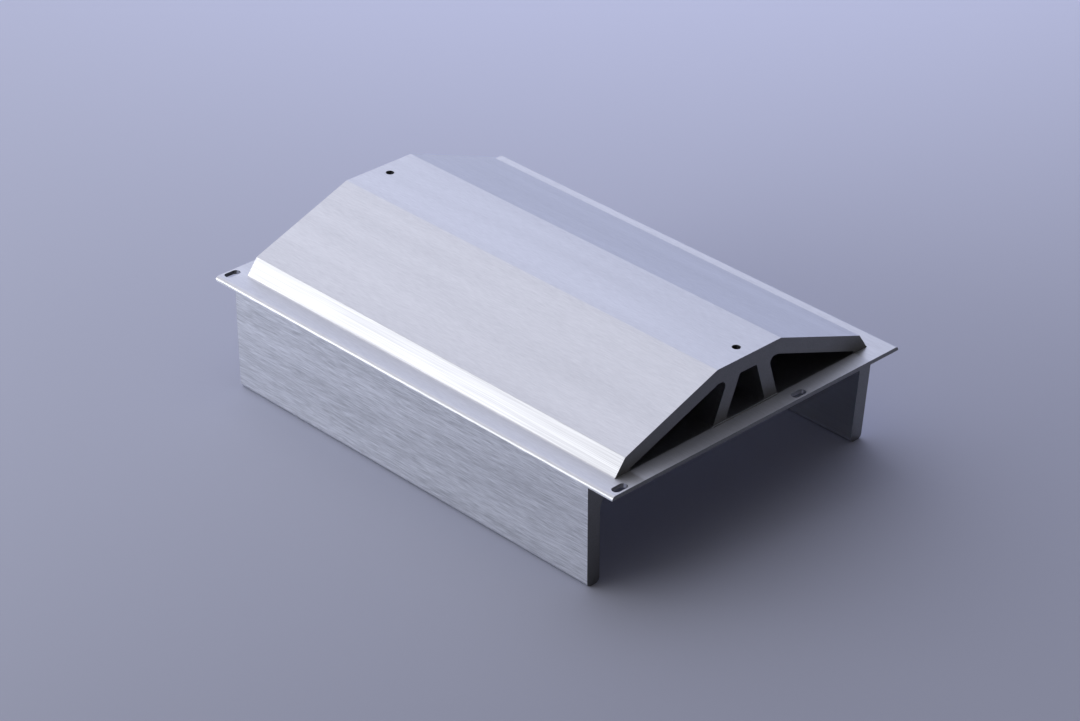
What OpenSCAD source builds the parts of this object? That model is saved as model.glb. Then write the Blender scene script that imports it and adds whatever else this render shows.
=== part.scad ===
// Aluminium extrusion profile: a roofed channel, cut to length and milled at both ends.
// X runs across the section, Y along the extrusion and Z up from the floor.

/* [Overall] */
// Width over the rounded long edges of the plate
width = 200; // [160:1:240]
// Length of the plate, end to end
length = 270; // [120:1:500]
// Height from the floor to the ridge flat
height = 88; // [60:0.5:120]

/* [Channel] */
// Thickness of the plate between the legs
plate_wall = 8; // [5:0.5:12]
// Thickness of each leg
leg_wall = 8; // [6:0.5:12]
// Toe-in of each leg, degrees from upright
leg_lean = 3; // [0:0.5:5]
// Radius of the long upper edges of the plate
edge_r = 2; // [0.5:0.1:2.1]
// Radius of the corners at the foot of each leg
tip_r = 2.5; // [0.5:0.1:2.8]
// Radius between each leg and the plate's underside
leg_root_r = 10; // [1:0.5:14]

/* [Roof] */
// Height of the ridge flat above the plate
roof_rise = 30.5; // [28:0.5:36]
// Width of the plate's lip outside each foot of the roof
lip = 12; // [10:0.5:16]
// Slant of each foot, from the lip in to the shoulder
foot_run = 6.3; // [4:0.1:8]
// Height of the shoulder above the plate
shoulder_rise = 8.6; // [7.5:0.1:9.5]
// Half width of the ridge flat
ridge_half = 22.1; // [20:0.1:24]
// Thickness of the roof, square to its faces
roof_wall = 8; // [7:0.5:9]
// Radius in the outer corner between roof and plate
foot_r = 1.2; // [0.5:0.1:2]
// Radius of the roof's long outer edges
arris_r = 1; // [0.3:0.1:2]

/* [Webs] */
// Half width of the centre chamber at the plate
web_foot_half = 14; // [12.5:0.5:16]
// Lean of each web, degrees from upright
web_lean = 20; // [17:0.5:22]
// Thickness of each web, square to its faces
web_wall = 8; // [6:0.5:9]
// Radius between each web and the roof, in the side chambers
roof_root_r = 3; // [1:0.5:4]
// Radius in the other corners of the webs
web_root_r = 1.5; // [0.5:0.1:2]
// Radius in the sharp outer corner of each side chamber
nose_r = 0.8; // [0.4:0.1:1]
// Height of the centre chamber's floor above the plate's upper face
floor_rise = 0.6; // [0.3:0.1:1]

/* [Milled ends] */
// Run of each tongue past the end of the roof
tongue_length = 10; // [7:0.5:20]
// Run of each tongue past the end of the legs
leg_setback = 15; // [8:0.5:30]
// Thickness of each tongue
tongue = 2.2; // [2.2:0.1:4]
// Run of the raised floor past the ends of the webs
ledge = 0.7; // [0.3:0.1:1.5]

/* [Slots and holes] */
// Width of each slot
slot_width = 4.5; // [3:0.1:5.4]
// Length of each slot, across the profile
slot_length = 9; // [7:0.1:12]
// Distance of the outer slots' middle from the plate's left edge
slot_edge = 8.2; // [7:0.1:12]
// Distance between the outer and inner slots of one tongue
slot_pitch = 122; // [60:0.5:130]
// Distance of the slots' middle line from the end of the tongue
slot_end = 3.3; // [3.2:0.1:4]
// Diameter of each hole in the ridge flat
hole_d = 4.3; // [3:0.1:6]
// Distance of each hole from the end of the roof
hole_end = 8.2; // [5:0.1:20]

/* [Hidden] */
$fn = 96;
lap = 0.002;
through = 5;
plate_top = height - roof_rise;
plate_under = plate_top - plate_wall;
foot_half = width / 2 - lip;
shoulder_half = foot_half - foot_run;
shoulder_top = plate_top + shoulder_rise;
slope = atan((roof_rise - shoulder_rise) / (shoulder_half - ridge_half));
knee_half = ridge_half - roof_wall * tan(slope / 2);
under_top = height - roof_wall;
nose_half = knee_half + (under_top - plate_top) / tan(slope);
web_out_half = web_foot_half + web_wall / cos(web_lean);
web_in = (under_top - plate_top) * tan(web_lean);
centre_floor = plate_top + floor_rise;
leg_in = plate_top * tan(leg_lean);
leg_run = leg_wall / cos(leg_lean);
leg_top_x = width / 2 + edge_r * (tan(leg_lean) + 1 / cos(leg_lean) - 1) - lap;
leg_inner_x = leg_top_x - leg_run - plate_wall * tan(leg_lean);
roof_end = length / 2 - tongue_length;
leg_end = length / 2 - leg_setback;
slot_y = length / 2 - slot_end;
slot_outer_x = slot_edge - width / 2;
slot_inner_x = slot_outer_x + slot_pitch;
hole_y = roof_end - hole_end;
ledge_half = web_out_half + web_root_r;

function unit(v) = v / norm(v);
function half_angle(p, v, n) = acos(unit(p - v) * unit(n - v)) / 2;
function along(v, to, r, half) = v + unit(to - v) * (r / tan(half));
function centre(p, v, n, r) = v + unit(unit(p - v) + unit(n - v)) * (r / sin(half_angle(p, v, n)));
function before(pts, i) = pts[(i + len(pts) - 1) % len(pts)];
function after(pts, i) = pts[(i + 1) % len(pts)];

// A convex outline with a radius of its own at each corner, 0 for a sharp one
module rounded(pts, radii) {
    cut = [for (i = [0 : len(pts) - 1])
        for (to = radii[i] > 0 ? [before(pts, i), after(pts, i)] : [pts[i]])
            radii[i] > 0
                ? along(pts[i], to, radii[i], half_angle(before(pts, i), pts[i], after(pts, i)))
                : pts[i]];
    polygon(cut);
    for (i = [0 : len(pts) - 1])
        if (radii[i] > 0)
            translate(centre(before(pts, i), pts[i], after(pts, i), radii[i]))
                circle(radii[i] + lap);
}

// The metal that fills an inner corner v, between the walls towards p and n
module root(p, v, n, r) {
    half = half_angle(p, v, n);
    difference() {
        polygon([v - unit(unit(p - v) + unit(n - v)), along(v, n, r, half), along(v, p, r, half)]);
        translate(centre(p, v, n, r)) circle(r + lap);
    }
}

module plate_section() {
    translate([-leg_top_x + leg_wall / 2, plate_under])
        square([2 * leg_top_x - leg_wall, plate_wall]);
}

module leg_section() {
    rounded(
        [[leg_top_x, plate_top], [leg_top_x - leg_run, plate_top],
         [leg_top_x - leg_run - leg_in, 0], [leg_top_x - leg_in, 0]],
        [edge_r, 0, tip_r, tip_r]);
    root([leg_inner_x - plate_top * tan(leg_lean), plate_under - plate_top],
         [leg_inner_x, plate_under], [0, plate_under], leg_root_r);
}

module roof_section() {
    sunk = plate_wall / 2;
    rounded(
        [[-foot_half, plate_top - sunk], [foot_half, plate_top - sunk], [foot_half, plate_top],
         [shoulder_half, shoulder_top], [ridge_half, height], [-ridge_half, height],
         [-shoulder_half, shoulder_top], [-foot_half, plate_top]],
        [0, 0, 0, arris_r, arris_r, arris_r, arris_r, 0]);
}

module foot_root() {
    root([shoulder_half, shoulder_top], [foot_half, plate_top], [leg_top_x, plate_top], foot_r);
}

module side_chamber() {
    rounded(
        [[web_out_half, plate_top], [nose_half, plate_top],
         [knee_half, under_top], [web_out_half - web_in, under_top]],
        [web_root_r, nose_r, 0, roof_root_r]);
}

module centre_chamber() {
    foot = web_foot_half - floor_rise * tan(web_lean);
    top = web_foot_half - web_in;
    rounded(
        [[-foot, centre_floor], [foot, centre_floor], [top, under_top], [-top, under_top]],
        [web_root_r, web_root_r, web_root_r, web_root_r]);
}

module section() {
    difference() {
        union() {
            plate_section();
            roof_section();
            for (side = [0, 1]) mirror([side, 0]) {
                leg_section();
                foot_root();
            }
        }
        centre_chamber();
        for (side = [0, 1]) mirror([side, 0]) side_chamber();
        for (z = [-through, height])
            translate([-width, z]) square([2 * width, through]);
    }
}

// What the mill takes off one end, at +Y: roof and webs from above, legs and plate from below
module end_milling() {
    beyond = tongue_length + through;
    rise = roof_rise + through;
    for (side = [0, 1]) mirror([side, 0, 0])
        translate([ledge_half, roof_end, plate_top])
            cube([width / 2, beyond, rise]);
    translate([-ledge_half - 1, roof_end, centre_floor])
        cube([2 * ledge_half + 2, beyond, rise]);
    translate([-ledge_half - 1, roof_end + ledge, plate_top])
        cube([2 * ledge_half + 2, beyond, rise]);
    translate([-width, leg_end, -through])
        cube([2 * width, leg_setback + through, plate_top - tongue + through]);
}

module slot(x) {
    translate([x, slot_y, plate_top - tongue - through])
        linear_extrude(tongue + 2 * through) {
            square([slot_length - slot_width, slot_width], center = true);
            for (side = [-1, 1])
                translate([side * (slot_length - slot_width) / 2, 0]) circle(d = slot_width);
        }
}

module ridge_hole() {
    translate([0, hole_y, under_top - through])
        cylinder(d = hole_d, h = roof_wall + 2 * through);
}

module profile() {
    color("silver")
        difference() {
            translate([0, length / 2, 0]) rotate([90, 0, 0])
                linear_extrude(length) section();
            for (end = [0, 1]) mirror([0, end, 0]) {
                end_milling();
                slot(slot_outer_x);
                slot(slot_inner_x);
                ridge_hole();
            }
        }
}

profile();
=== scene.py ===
import math

import bmesh
import bpy
from mathutils import Matrix, Vector
from mathutils.bvhtree import BVHTree


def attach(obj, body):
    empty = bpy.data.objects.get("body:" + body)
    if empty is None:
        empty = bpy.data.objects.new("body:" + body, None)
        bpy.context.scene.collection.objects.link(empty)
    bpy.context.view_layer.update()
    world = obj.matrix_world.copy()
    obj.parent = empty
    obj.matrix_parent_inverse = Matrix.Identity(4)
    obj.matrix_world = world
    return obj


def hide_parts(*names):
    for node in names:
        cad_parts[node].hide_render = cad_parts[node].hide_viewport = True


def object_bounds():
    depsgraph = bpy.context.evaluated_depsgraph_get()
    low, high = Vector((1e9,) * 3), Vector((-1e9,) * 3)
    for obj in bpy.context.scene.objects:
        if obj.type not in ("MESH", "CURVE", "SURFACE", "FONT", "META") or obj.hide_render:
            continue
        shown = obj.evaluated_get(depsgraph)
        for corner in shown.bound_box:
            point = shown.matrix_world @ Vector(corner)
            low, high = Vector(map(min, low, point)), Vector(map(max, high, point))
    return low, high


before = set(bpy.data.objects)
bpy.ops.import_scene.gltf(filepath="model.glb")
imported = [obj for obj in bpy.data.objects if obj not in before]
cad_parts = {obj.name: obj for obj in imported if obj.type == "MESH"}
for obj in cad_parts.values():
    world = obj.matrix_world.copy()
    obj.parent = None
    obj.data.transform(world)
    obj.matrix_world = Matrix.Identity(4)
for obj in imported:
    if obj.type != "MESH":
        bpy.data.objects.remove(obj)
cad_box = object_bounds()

# The profile is one length of extruded aluminium, cut to length and milled at both ends.
# Its outer faces are brushed along the length, the faces of its chambers and its inside are
# as the die left them, and its ends are milled, with every outer edge broken.
MM = 0.001
TONGUE_RUN = 10 * MM
BRUSHED_MARGIN = 21.4 * MM
BROKEN_EDGE = 0.2 * MM
SAME_POINT = 0.001 * MM
OFF_THE_FACE = 0.1 * MM
FLAT_ANGLE = math.radians(0.5)
SHARP_ANGLE = math.radians(35)
plate_corner = Vector(cad_box[1])
roof_end = plate_corner.y - TONGUE_RUN
dull_half = plate_corner.x - BRUSHED_MARGIN


def linear(hex_colour):
    channels = [int(hex_colour[i:i + 2], 16) / 255 for i in (1, 3, 5)]
    return [c / 12.92 if c <= 0.04045 else ((c + 0.055) / 1.055) ** 2.4 for c in channels] + [1.0]


def add_node(tree, kind, inputs=None, **settings):
    node = tree.nodes.new(kind)
    for name, value in settings.items():
        setattr(node, name, value)
    for name, value in (inputs or {}).items():
        if isinstance(value, bpy.types.NodeSocket):
            tree.links.new(value, node.inputs[name])
        else:
            node.inputs[name].default_value = value
    return node


BAND_STRETCH = 20
PATTERN_LOW = 0.3
PATTERN_HIGH = 0.7


def aluminium(name, dark, light, roughness, line_width, line_length, band_width, band_share, relief):
    # Bare aluminium with lines along the extrusion. Fine lines and broad, faint bands shift its
    # shade and gloss a little, and the relief of the lines spreads reflections crosswise.
    material = bpy.data.materials.new(name)
    material.use_nodes = True
    tree = material.node_tree
    shader = tree.nodes["Principled BSDF"]
    shader.inputs["Metallic"].default_value = 1.0
    place = add_node(tree, "ShaderNodeTexCoord").outputs["Object"]
    pattern = []
    for width, length in ((line_width, line_length), (band_width, BAND_STRETCH * band_width)):
        stretched = add_node(tree, "ShaderNodeMapping", {
            "Vector": place, "Scale": (1 / width, 1 / length, 1 / width),
        }).outputs["Vector"]
        pattern.append(add_node(tree, "ShaderNodeTexNoise", {
            "Vector": stretched, "Scale": 1.0, "Detail": 3.0, "Roughness": 0.6,
        }).outputs["Fac"])
    lines, bands = pattern
    both = add_node(tree, "ShaderNodeMix", {
        "Factor": band_share, "A": lines, "B": bands,
    }).outputs["Result"]
    shade = add_node(tree, "ShaderNodeValToRGB", {"Fac": both})
    shade.color_ramp.elements[0].position = PATTERN_LOW
    shade.color_ramp.elements[0].color = linear(dark)
    shade.color_ramp.elements[1].position = PATTERN_HIGH
    shade.color_ramp.elements[1].color = linear(light)
    smoothest, roughest = roughness
    gloss = add_node(tree, "ShaderNodeMapRange", {
        "Value": both, "From Min": PATTERN_LOW, "From Max": PATTERN_HIGH,
        "To Min": roughest, "To Max": smoothest,
    }).outputs["Result"]
    bump = add_node(tree, "ShaderNodeBump", {
        "Height": lines, "Strength": 1.0, "Distance": relief,
    }).outputs["Normal"]
    tree.links.new(shade.outputs["Color"], shader.inputs["Base Color"])
    tree.links.new(gloss, shader.inputs["Roughness"])
    tree.links.new(bump, shader.inputs["Normal"])
    return material


# Real brush lines are finer than the picture shows, so they are drawn about as wide as a pixel.
FINISHES = [
    # Fine grit leaves short lines and an even, soft sheen on the roof and the plate.
    aluminium("satin brushed aluminium", "#C9CBD0", "#DBDDE1", roughness=(0.43, 0.49),
              line_width=0.4 * MM, line_length=6 * MM,
              band_width=12 * MM, band_share=0.35, relief=0.003 * MM),
    # Drawing leaves long streaks that catch the light on the steep feet of the roof.
    aluminium("satin drawn aluminium", "#C2C4C9", "#E4E6EA", roughness=(0.40, 0.50),
              line_width=0.4 * MM, line_length=70 * MM,
              band_width=12 * MM, band_share=0.1, relief=0.003 * MM),
    # A coarse belt leaves broken lines and a dull sheen on the outer sides of the legs.
    aluminium("linished aluminium", "#AEB2BC", "#F0F3FA", roughness=(0.60, 0.76),
              line_width=0.45 * MM, line_length=9 * MM,
              band_width=7 * MM, band_share=0.3, relief=0.010 * MM),
    # The cutter leaves plain faces at the ends, with no lines that show; their darker grey is painted
    # shade on the ends.
    aluminium("milled aluminium with painted shade", "#80807E", "#8C8C8A", roughness=(0.40, 0.46),
              line_width=1.0 * MM, line_length=1.0 * MM,
              band_width=6 * MM, band_share=0.3, relief=0.003 * MM),
    # The die leaves long, faint lines and more gloss in the chambers and under the plate.
    aluminium("mill finish aluminium", "#C4C6CA", "#D0D2D6", roughness=(0.34, 0.40),
              line_width=0.8 * MM, line_length=60 * MM,
              band_width=12 * MM, band_share=0.3, relief=0.002 * MM),
    # A flat cut leaves the tongues pale and dull between the places of the roof's feet.
    aluminium("dull cut aluminium", "#DADDE4", "#E6E9F0", roughness=(0.60, 0.66),
              line_width=0.8 * MM, line_length=8 * MM,
              band_width=12 * MM, band_share=0.3, relief=0.004 * MM),
]
BRUSHED, DRAWN, LINISHED, MILLED_PAINTED_SHADE, MILL_FINISH, DULL = range(len(FINISHES))

body = bmesh.new()
body.from_mesh(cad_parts["profile"].data)
bmesh.ops.remove_doubles(body, verts=body.verts, dist=SAME_POINT)
bmesh.ops.dissolve_limit(body, angle_limit=FLAT_ANGLE, verts=body.verts, edges=body.edges)
outer_edges = [e for e in body.edges
               if len(e.link_faces) == 2 and e.is_convex and e.calc_face_angle() > SHARP_ANGLE]
bmesh.ops.bevel(body, geom=outer_edges, offset=BROKEN_EDGE, offset_type="OFFSET", affect="EDGES",
                segments=1, profile=0.5, material=-1, clamp_overlap=True)

# Cuts along the borders of the dull field on each tongue let it have a finish of its own.
for axis, reach in ((Vector((1, 0, 0)), dull_half), (Vector((0, 1, 0)), roof_end)):
    for side in (-1, 1):
        bmesh.ops.bisect_plane(body, geom=body.verts[:] + body.edges[:] + body.faces[:],
                               dist=SAME_POINT, plane_co=axis * reach * side, plane_no=axis)
for edge in body.edges:
    edge.smooth = len(edge.link_faces) == 2 and edge.calc_face_angle() < SHARP_ANGLE

# Each face gets its finish from the way it faces, and from whether it looks at another wall.
END_FACING = 0.6
UP_FACING = 0.5
UPRIGHT = 0.95
STEEP = 0.7
walls = BVHTree.FromBMesh(body)
for face in body.faces:
    face.smooth = True
    middle = face.calc_center_median()
    normal = face.normal
    wall_ahead = walls.ray_cast(middle + normal * OFF_THE_FACE, normal)[0]
    on_tongue = abs(middle.y) > roof_end and abs(middle.x) < dull_half
    # End faces get the milled finish, whose dark grey is painted shade.
    if abs(normal.y) > END_FACING:
        face.material_index = MILLED_PAINTED_SHADE
    elif on_tongue and normal.z > UP_FACING:
        face.material_index = DULL
    elif wall_ahead is not None or normal.z < -UP_FACING:
        face.material_index = MILL_FINISH
    elif abs(normal.x) > UPRIGHT:
        face.material_index = LINISHED
    elif abs(normal.x) > STEEP:
        face.material_index = DRAWN
    else:
        face.material_index = BRUSHED

mesh = bpy.data.meshes.new("profile_finished")
body.to_mesh(mesh)
body.free()
for finish in FINISHES:
    mesh.materials.append(finish)
profile = bpy.data.objects.new("profile_finished", mesh)
bpy.context.scene.collection.objects.link(profile)
even = profile.modifiers.new("even flats", "WEIGHTED_NORMAL")
even.keep_sharp = True
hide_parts("profile")
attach(profile, "root")

# The floor is one sheet of matt lavender-grey studio paper. Its colour fades from dark in front to
# light at the back along the camera's heading; the lavender-grey is the paper's, the fade is painted
# light falloff.
FLOOR_SIZE = 12.0
FLOOR_FRONT_PAINTED_SHADE = "#AAAEBF"
FLOOR_BACK_PAINTED_LIGHT = "#E0E6FF"
PAINTED_LIGHT_HEADING = (0.726, 0.688, 0.0)
PAINTED_LIGHT_FROM = -0.4
PAINTED_LIGHT_TO = 0.6
PAPER_ROUGHNESS = 0.9

# Matt paper has no gloss to speak of, so it shows soft shadows and no mirror image.
paper = bpy.data.materials.new("matt studio paper")
paper.use_nodes = True
paper_tree = paper.node_tree
paper_shader = paper_tree.nodes["Principled BSDF"]
paper_shader.inputs["Roughness"].default_value = PAPER_ROUGHNESS
paper_place = add_node(paper_tree, "ShaderNodeTexCoord").outputs["Object"]
# Painted light: the paper's colour runs from painted shade in front to painted light at the back.
paper_depth = add_node(paper_tree, "ShaderNodeVectorMath", {
    0: paper_place, 1: PAINTED_LIGHT_HEADING,
}, operation="DOT_PRODUCT").outputs["Value"]
paper_painted_falloff = add_node(paper_tree, "ShaderNodeMapRange", {
    "Value": paper_depth, "From Min": PAINTED_LIGHT_FROM, "From Max": PAINTED_LIGHT_TO,
}).outputs["Result"]
paper_painted_light_colour = add_node(paper_tree, "ShaderNodeValToRGB", {"Fac": paper_painted_falloff})
paper_painted_light_colour.color_ramp.elements[0].color = linear(FLOOR_FRONT_PAINTED_SHADE)
paper_painted_light_colour.color_ramp.elements[1].color = linear(FLOOR_BACK_PAINTED_LIGHT)
paper_tree.links.new(paper_painted_light_colour.outputs["Color"], paper_shader.inputs["Base Color"])

floor_mesh = bpy.data.meshes.new("floor")
floor_shape = bmesh.new()
bmesh.ops.create_grid(floor_shape, x_segments=1, y_segments=1, size=FLOOR_SIZE / 2)
floor_shape.to_mesh(floor_mesh)
floor_shape.free()
floor_mesh.materials.append(paper)
floor = bpy.data.objects.new("floor", floor_mesh)
bpy.context.scene.collection.objects.link(floor)

# The lamps are a long soft box low on the left and a spot on the paper behind the object.
# The room gives soft light from above the back and from the right, and hardly any from the front.
SOFT_BOX_PLACE = Vector((-0.82, 0.53, 0.215))
SOFT_BOX_WIDTH = 1.05
SOFT_BOX_HEIGHT = 0.42
SOFT_BOX_WATTS = 4.4
SOFT_BOX_COLOUR = "#FFFFFF"
SPOT_PLACE = Vector((0.58, 0.46, 1.5))
SPOT_AIM = Vector((0, 0, -1))
SPOT_CONE = math.radians(55)
SPOT_RADIUS = 0.2
SPOT_WATTS = 22.0
SPOT_COLOUR = "#E6E8FF"
ROOM = [
    # side of the room, colour, strength
    ((0.0, 1.0, 1.0), "#FBF9FF", 1.06),
    ((1.0, 1.0, 0.0), "#BECAF7", 0.85),
    ((0.0, -1.0, 0.2), "#FFEAD4", 0.09),
]
ROOM_FALLOFF = 2.0
BACKDROP = "#B4B8D8"

soft_box = bpy.data.lights.new("left soft box", "AREA")
soft_box.shape = "RECTANGLE"
soft_box.size = SOFT_BOX_WIDTH
soft_box.size_y = SOFT_BOX_HEIGHT
soft_box.energy = SOFT_BOX_WATTS
soft_box.color = linear(SOFT_BOX_COLOUR)[:3]
spot = bpy.data.lights.new("background spot", "SPOT")
spot.spot_size = SPOT_CONE
spot.spot_blend = 1.0
spot.shadow_soft_size = SPOT_RADIUS
spot.energy = SPOT_WATTS
spot.color = linear(SPOT_COLOUR)[:3]
lamps = [
    (soft_box, SOFT_BOX_PLACE, -SOFT_BOX_PLACE),
    (spot, SPOT_PLACE, SPOT_AIM),
]
for lamp, place, aim in lamps:
    holder = bpy.data.objects.new(lamp.name, lamp)
    holder.location = place
    holder.rotation_euler = aim.to_track_quat("-Z", "Y").to_euler()
    holder.visible_camera = False
    bpy.context.scene.collection.objects.link(holder)

studio = bpy.data.worlds.new("studio")
studio.use_nodes = True
bpy.context.scene.world = studio
studio_tree = studio.node_tree
studio_place = add_node(studio_tree, "ShaderNodeTexCoord").outputs["Generated"]
room_light = []
for side, colour, strength in ROOM:
    level = add_node(studio_tree, "ShaderNodeVectorMath", {
        0: studio_place, 1: Vector(side).normalized(),
    }, operation="DOT_PRODUCT").outputs["Value"]
    for step, value in (("MAXIMUM", 0.0), ("POWER", ROOM_FALLOFF), ("MULTIPLY", strength)):
        level = add_node(studio_tree, "ShaderNodeMath", {0: level, 1: value}, operation=step).outputs[0]
    room_light.append(add_node(studio_tree, "ShaderNodeBackground", {
        "Color": linear(colour), "Strength": level,
    }).outputs[0])
room = room_light[0]
for light in room_light[1:]:
    room = add_node(studio_tree, "ShaderNodeAddShader", {0: room, 1: light}).outputs[0]
backdrop = studio_tree.nodes["Background"]
backdrop.inputs["Color"].default_value = linear(BACKDROP)
seen = add_node(studio_tree, "ShaderNodeLightPath").outputs["Is Camera Ray"]
shown = add_node(studio_tree, "ShaderNodeMixShader", {
    0: seen, 1: room, 2: backdrop.outputs[0],
}).outputs[0]
studio_tree.links.new(shown, studio_tree.nodes["World Output"].inputs["Surface"])

# The camera stands off the near left corner and looks down on the ridge, as in the photograph.
# Its place, heading and lens were found by fitting the profile's straight edges to the picture.
CAMERA_PLACE = Vector((-1.02776, -0.96671, 0.85812))
CAMERA_AZIMUTH = math.radians(46.531)
CAMERA_ELEVATION = math.radians(30.432)
CAMERA_ROLL = math.radians(2.369)
CAMERA_LENS = 111.05
SENSOR_WIDTH = 36.0
FARTHEST_SEEN = 100.0

lens = bpy.data.cameras.new("camera")
lens.sensor_fit = "HORIZONTAL"
lens.sensor_width = SENSOR_WIDTH
lens.lens = CAMERA_LENS
lens.clip_end = FARTHEST_SEEN
camera = bpy.data.objects.new("camera", lens)
camera.matrix_world = (Matrix.Translation(CAMERA_PLACE)
                       @ Matrix.Rotation(-CAMERA_AZIMUTH, 4, "Z")
                       @ Matrix.Rotation(math.pi / 2 - CAMERA_ELEVATION, 4, "X")
                       @ Matrix.Rotation(CAMERA_ROLL, 4, "Z"))
bpy.context.scene.collection.objects.link(camera)
bpy.context.scene.camera = camera
bpy.context.scene.view_settings.view_transform = "Standard"
